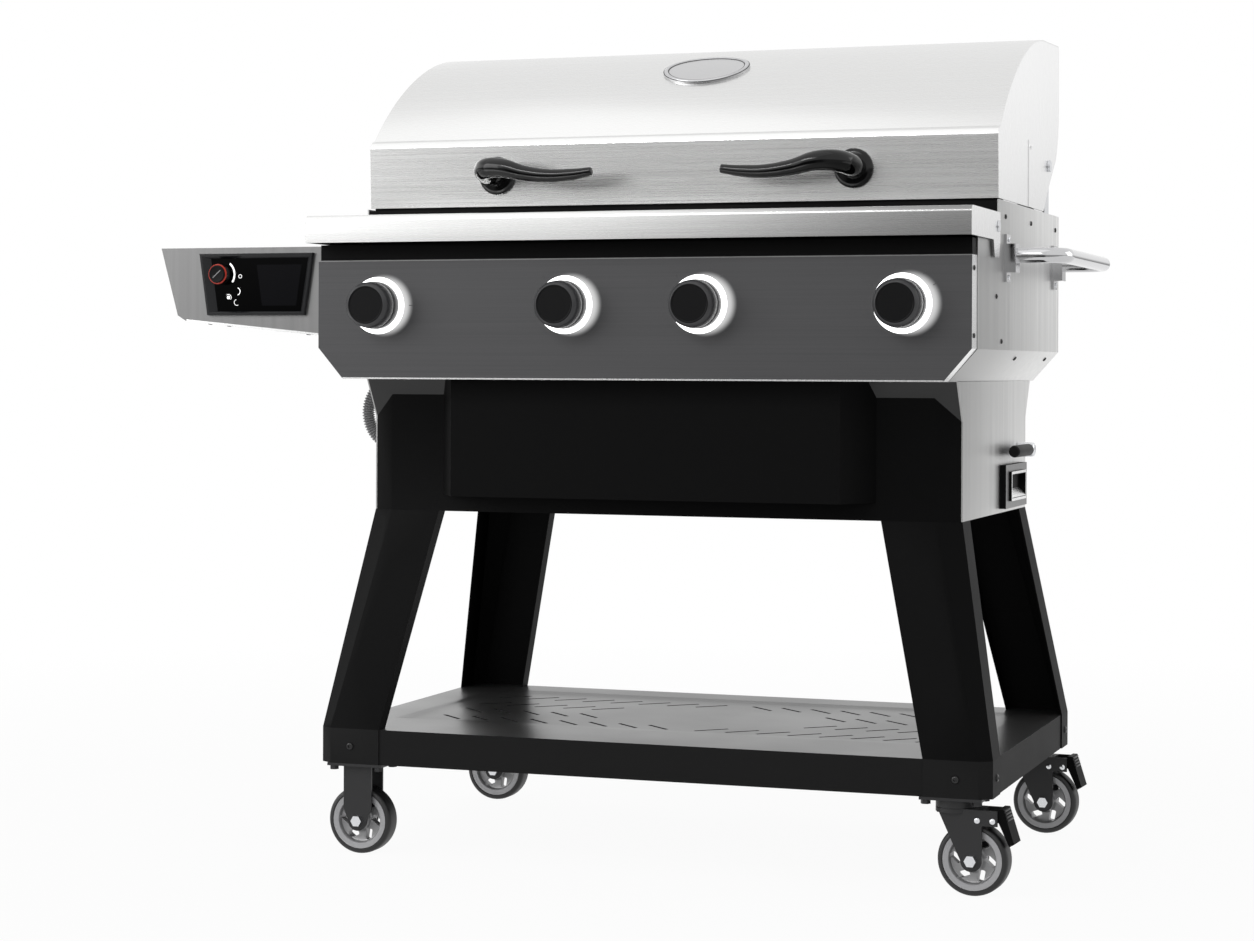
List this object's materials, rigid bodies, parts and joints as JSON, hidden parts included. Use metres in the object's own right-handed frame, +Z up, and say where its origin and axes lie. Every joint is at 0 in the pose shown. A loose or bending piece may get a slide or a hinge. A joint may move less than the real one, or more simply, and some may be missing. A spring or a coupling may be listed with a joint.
{
  "type": "pellet grill",
  "caption": "Stainless steel pellet grill on a black wheeled cart with a curved lid, hopper ledge, lit control knobs and a side control box",
  "frame": {"origin": "middle of the footprint on the floor, hose left out", "axes": "+X along the width to the side handle, +Y from the control panel to the rear, +Z up"},
  "size_m": [1.34, 0.6984, 1.234],
  "materials": {
    "brushed_stainless": "horizontally brushed stainless steel",
    "side_stainless": "vertically brushed stainless steel",
    "panel_steel": "darker brushed steel of the control panel",
    "black_powder": "satin black powder coat",
    "strip_black": "matt black paint",
    "knob_black": "dark grey to black plastic",
    "gloss_black": "gloss black grips",
    "bezel_black": "black bezel",
    "screen_glass": "dark display glass",
    "lit_ring": "white light ring, lit",
    "polished_steel": "polished steel",
    "zinc_steel": "bright zinc-plated steel",
    "tyre_rubber": "dark caster rubber, grey rim",
    "galvanised": "plain galvanised sheet",
    "cast_dark": "dark fire-side iron",
    "hose_black": "black corrugated plastic conduit"
  },
  "bodies": {
    "cart": {"control_panel": "panel_steel", "recess_strip": "strip_black", "body_side_left": "side_stainless", "body_side_right": "side_stainless", "rear_panel": "black_powder", "body_floor": "galvanised", "firebox_wall": "black_powder", "hopper_bin": "galvanised", "lower_front": "black_powder", "lower_tray": "black_powder", "lower_side_left": "side_stainless", "lower_side_right": "side_stainless", "front_cover": "black_powder", "leg_front_left": "black_powder", "leg_front_right": "black_powder", "leg_rear_left": "black_powder", "leg_rear_right": "black_powder", "bottom_shelf": "black_powder", "control_box": "brushed_stainless", "control_bezel": "bezel_black", "display_glass": "screen_glass", "side_handle": "polished_steel", "knob_light_rings": "lit_ring", "rotary_switches": "knob_black", "auger_tubes": "galvanised", "auger_motors": "galvanised", "burner_pots": "cast_dark", "blower_housing": "galvanised", "drip_tray": "galvanised", "heat_deflector": "cast_dark", "cooking_grates": "cast_dark", "conduit_hose": "hose_black", "conduit_glands": "zinc_steel", "lid_hinge_brackets": "zinc_steel", "body_screws": "black_powder", "power_inlet": "knob_black", "caster_mounts": "black_powder"},
    "main_lid": {"lid_skin": "brushed_stainless", "lid_end_plates": "brushed_stainless", "lid_handles": "gloss_black", "lid_badge": "polished_steel"},
    "hopper_lid": {"hopper_lid": "brushed_stainless"},
    "mode_knob": {"mode_knob": "knob_black"},
    "left_heat_knob": {"left_heat_knob": "knob_black"},
    "right_heat_knob": {"right_heat_knob": "knob_black"},
    "sear_knob": {"sear_knob": "knob_black"},
    "dial_knob": {"dial_knob": "knob_black"},
    "grease_drawer": {"grease_drawer": "side_stainless"},
    "lever": {"lever": "gloss_black"},
    "swivel_front": {"swivel_fork_front": "black_powder"},
    "swivel_rear": {"swivel_fork_rear": "black_powder"},
    "brake_front": {"brake_pedal_front": "knob_black"},
    "brake_rear": {"brake_pedal_rear": "knob_black"},
    "wheel_front_left": {"wheel_front_left": "tyre_rubber"},
    "wheel_rear_left": {"wheel_rear_left": "tyre_rubber"},
    "wheel_front_right": {"wheel_front_right": "tyre_rubber"},
    "wheel_rear_right": {"wheel_rear_right": "tyre_rubber"},
    "auger_left": {"auger_left": "zinc_steel"},
    "auger_right": {"auger_right": "zinc_steel"},
    "blower_rotor": {"blower_rotor": "galvanised"}
  },
  "joints": [
    {"name": "lid_hinge", "type": "hinge", "parent": "cart", "child": "main_lid", "pos_m": [0.089, 0.25575, 1.039], "axis": [-1, 0, 0], "range_deg": [0, 60]},
    {"name": "hopper_lid_hinge", "type": "hinge", "parent": "cart", "child": "hopper_lid", "pos_m": [0.089, -0.15925, 0.925], "axis": [-1, 0, 0], "range_deg": [0, 38]},
    {"name": "mode_knob_turn", "type": "hinge", "parent": "cart", "child": "mode_knob", "pos_m": [-0.302, -0.30425, 0.814], "axis": [0, 1, 0], "range_deg": [-90, 90]},
    {"name": "left_heat_knob_turn", "type": "hinge", "parent": "cart", "child": "left_heat_knob", "pos_m": [-0.011, -0.30425, 0.814], "axis": [0, 1, 0], "range_deg": [0, 270]},
    {"name": "right_heat_knob_turn", "type": "hinge", "parent": "cart", "child": "right_heat_knob", "pos_m": [0.189, -0.30425, 0.814], "axis": [0, 1, 0], "range_deg": [0, 270]},
    {"name": "sear_knob_turn", "type": "hinge", "parent": "cart", "child": "sear_knob", "pos_m": [0.48, -0.30425, 0.814], "axis": [0, 1, 0], "range_deg": [0, 270]},
    {"name": "dial_turn", "type": "hinge", "parent": "cart", "child": "dial_knob", "pos_m": [-0.566, -0.28425, 0.862], "axis": [0, 1, 0], "continuous": true},
    {"name": "drawer_slide", "type": "slide", "parent": "cart", "child": "grease_drawer", "axis": [1, 0, 0], "range_m": [0, 0.15]},
    {"name": "lever_turn", "type": "hinge", "parent": "cart", "child": "lever", "pos_m": [0.556, 0.21075, 0.602], "axis": [-1, 0, 0], "range_deg": [0, 28]},
    {"name": "swivel_front_turn", "type": "hinge", "parent": "cart", "child": "swivel_front", "pos_m": [0.538, -0.22325, 0.136], "axis": [0, 0, 1], "continuous": true},
    {"name": "wheel_front_right_roll", "type": "hinge", "parent": "swivel_front", "child": "wheel_front_right", "pos_m": [0.56596, -0.22471, 0.05], "axis": [0.0523, 0.9986, 0], "continuous": true},
    {"name": "brake_front_press", "type": "hinge", "parent": "swivel_front", "child": "brake_front", "pos_m": [0.59592, -0.22628, 0.106], "axis": [0.0523, 0.9986, 0], "range_deg": [0, 9]},
    {"name": "wheel_front_left_roll", "type": "hinge", "parent": "cart", "child": "wheel_front_left", "pos_m": [-0.36, -0.22325, 0.05], "axis": [0, 1, 0], "continuous": true},
    {"name": "swivel_rear_turn", "type": "hinge", "parent": "cart", "child": "swivel_rear", "pos_m": [0.538, 0.31275, 0.136], "axis": [0, 0, 1], "continuous": true},
    {"name": "wheel_rear_right_roll", "type": "hinge", "parent": "swivel_rear", "child": "wheel_rear_right", "pos_m": [0.56596, 0.31128, 0.05], "axis": [0.0523, 0.9986, 0], "continuous": true},
    {"name": "brake_rear_press", "type": "hinge", "parent": "swivel_rear", "child": "brake_rear", "pos_m": [0.59592, 0.30972, 0.106], "axis": [0.0523, 0.9986, 0], "range_deg": [0, 9]},
    {"name": "wheel_rear_left_roll", "type": "hinge", "parent": "cart", "child": "wheel_rear_left", "pos_m": [-0.36, 0.31275, 0.05], "axis": [0, 1, 0], "continuous": true},
    {"name": "auger_left_turn", "type": "hinge", "parent": "cart", "child": "auger_left", "pos_m": [-0.131, -0.30425, 0.776], "axis": [0, 1, 0], "continuous": true},
    {"name": "auger_right_turn", "type": "hinge", "parent": "cart", "child": "auger_right", "pos_m": [0.309, -0.30425, 0.776], "axis": [0, 1, 0], "continuous": true},
    {"name": "blower_turn", "type": "hinge", "parent": "cart", "child": "blower_rotor", "pos_m": [0.089, 0.09575, 0.707], "axis": [0, 0, 1], "continuous": true}
  ]
}
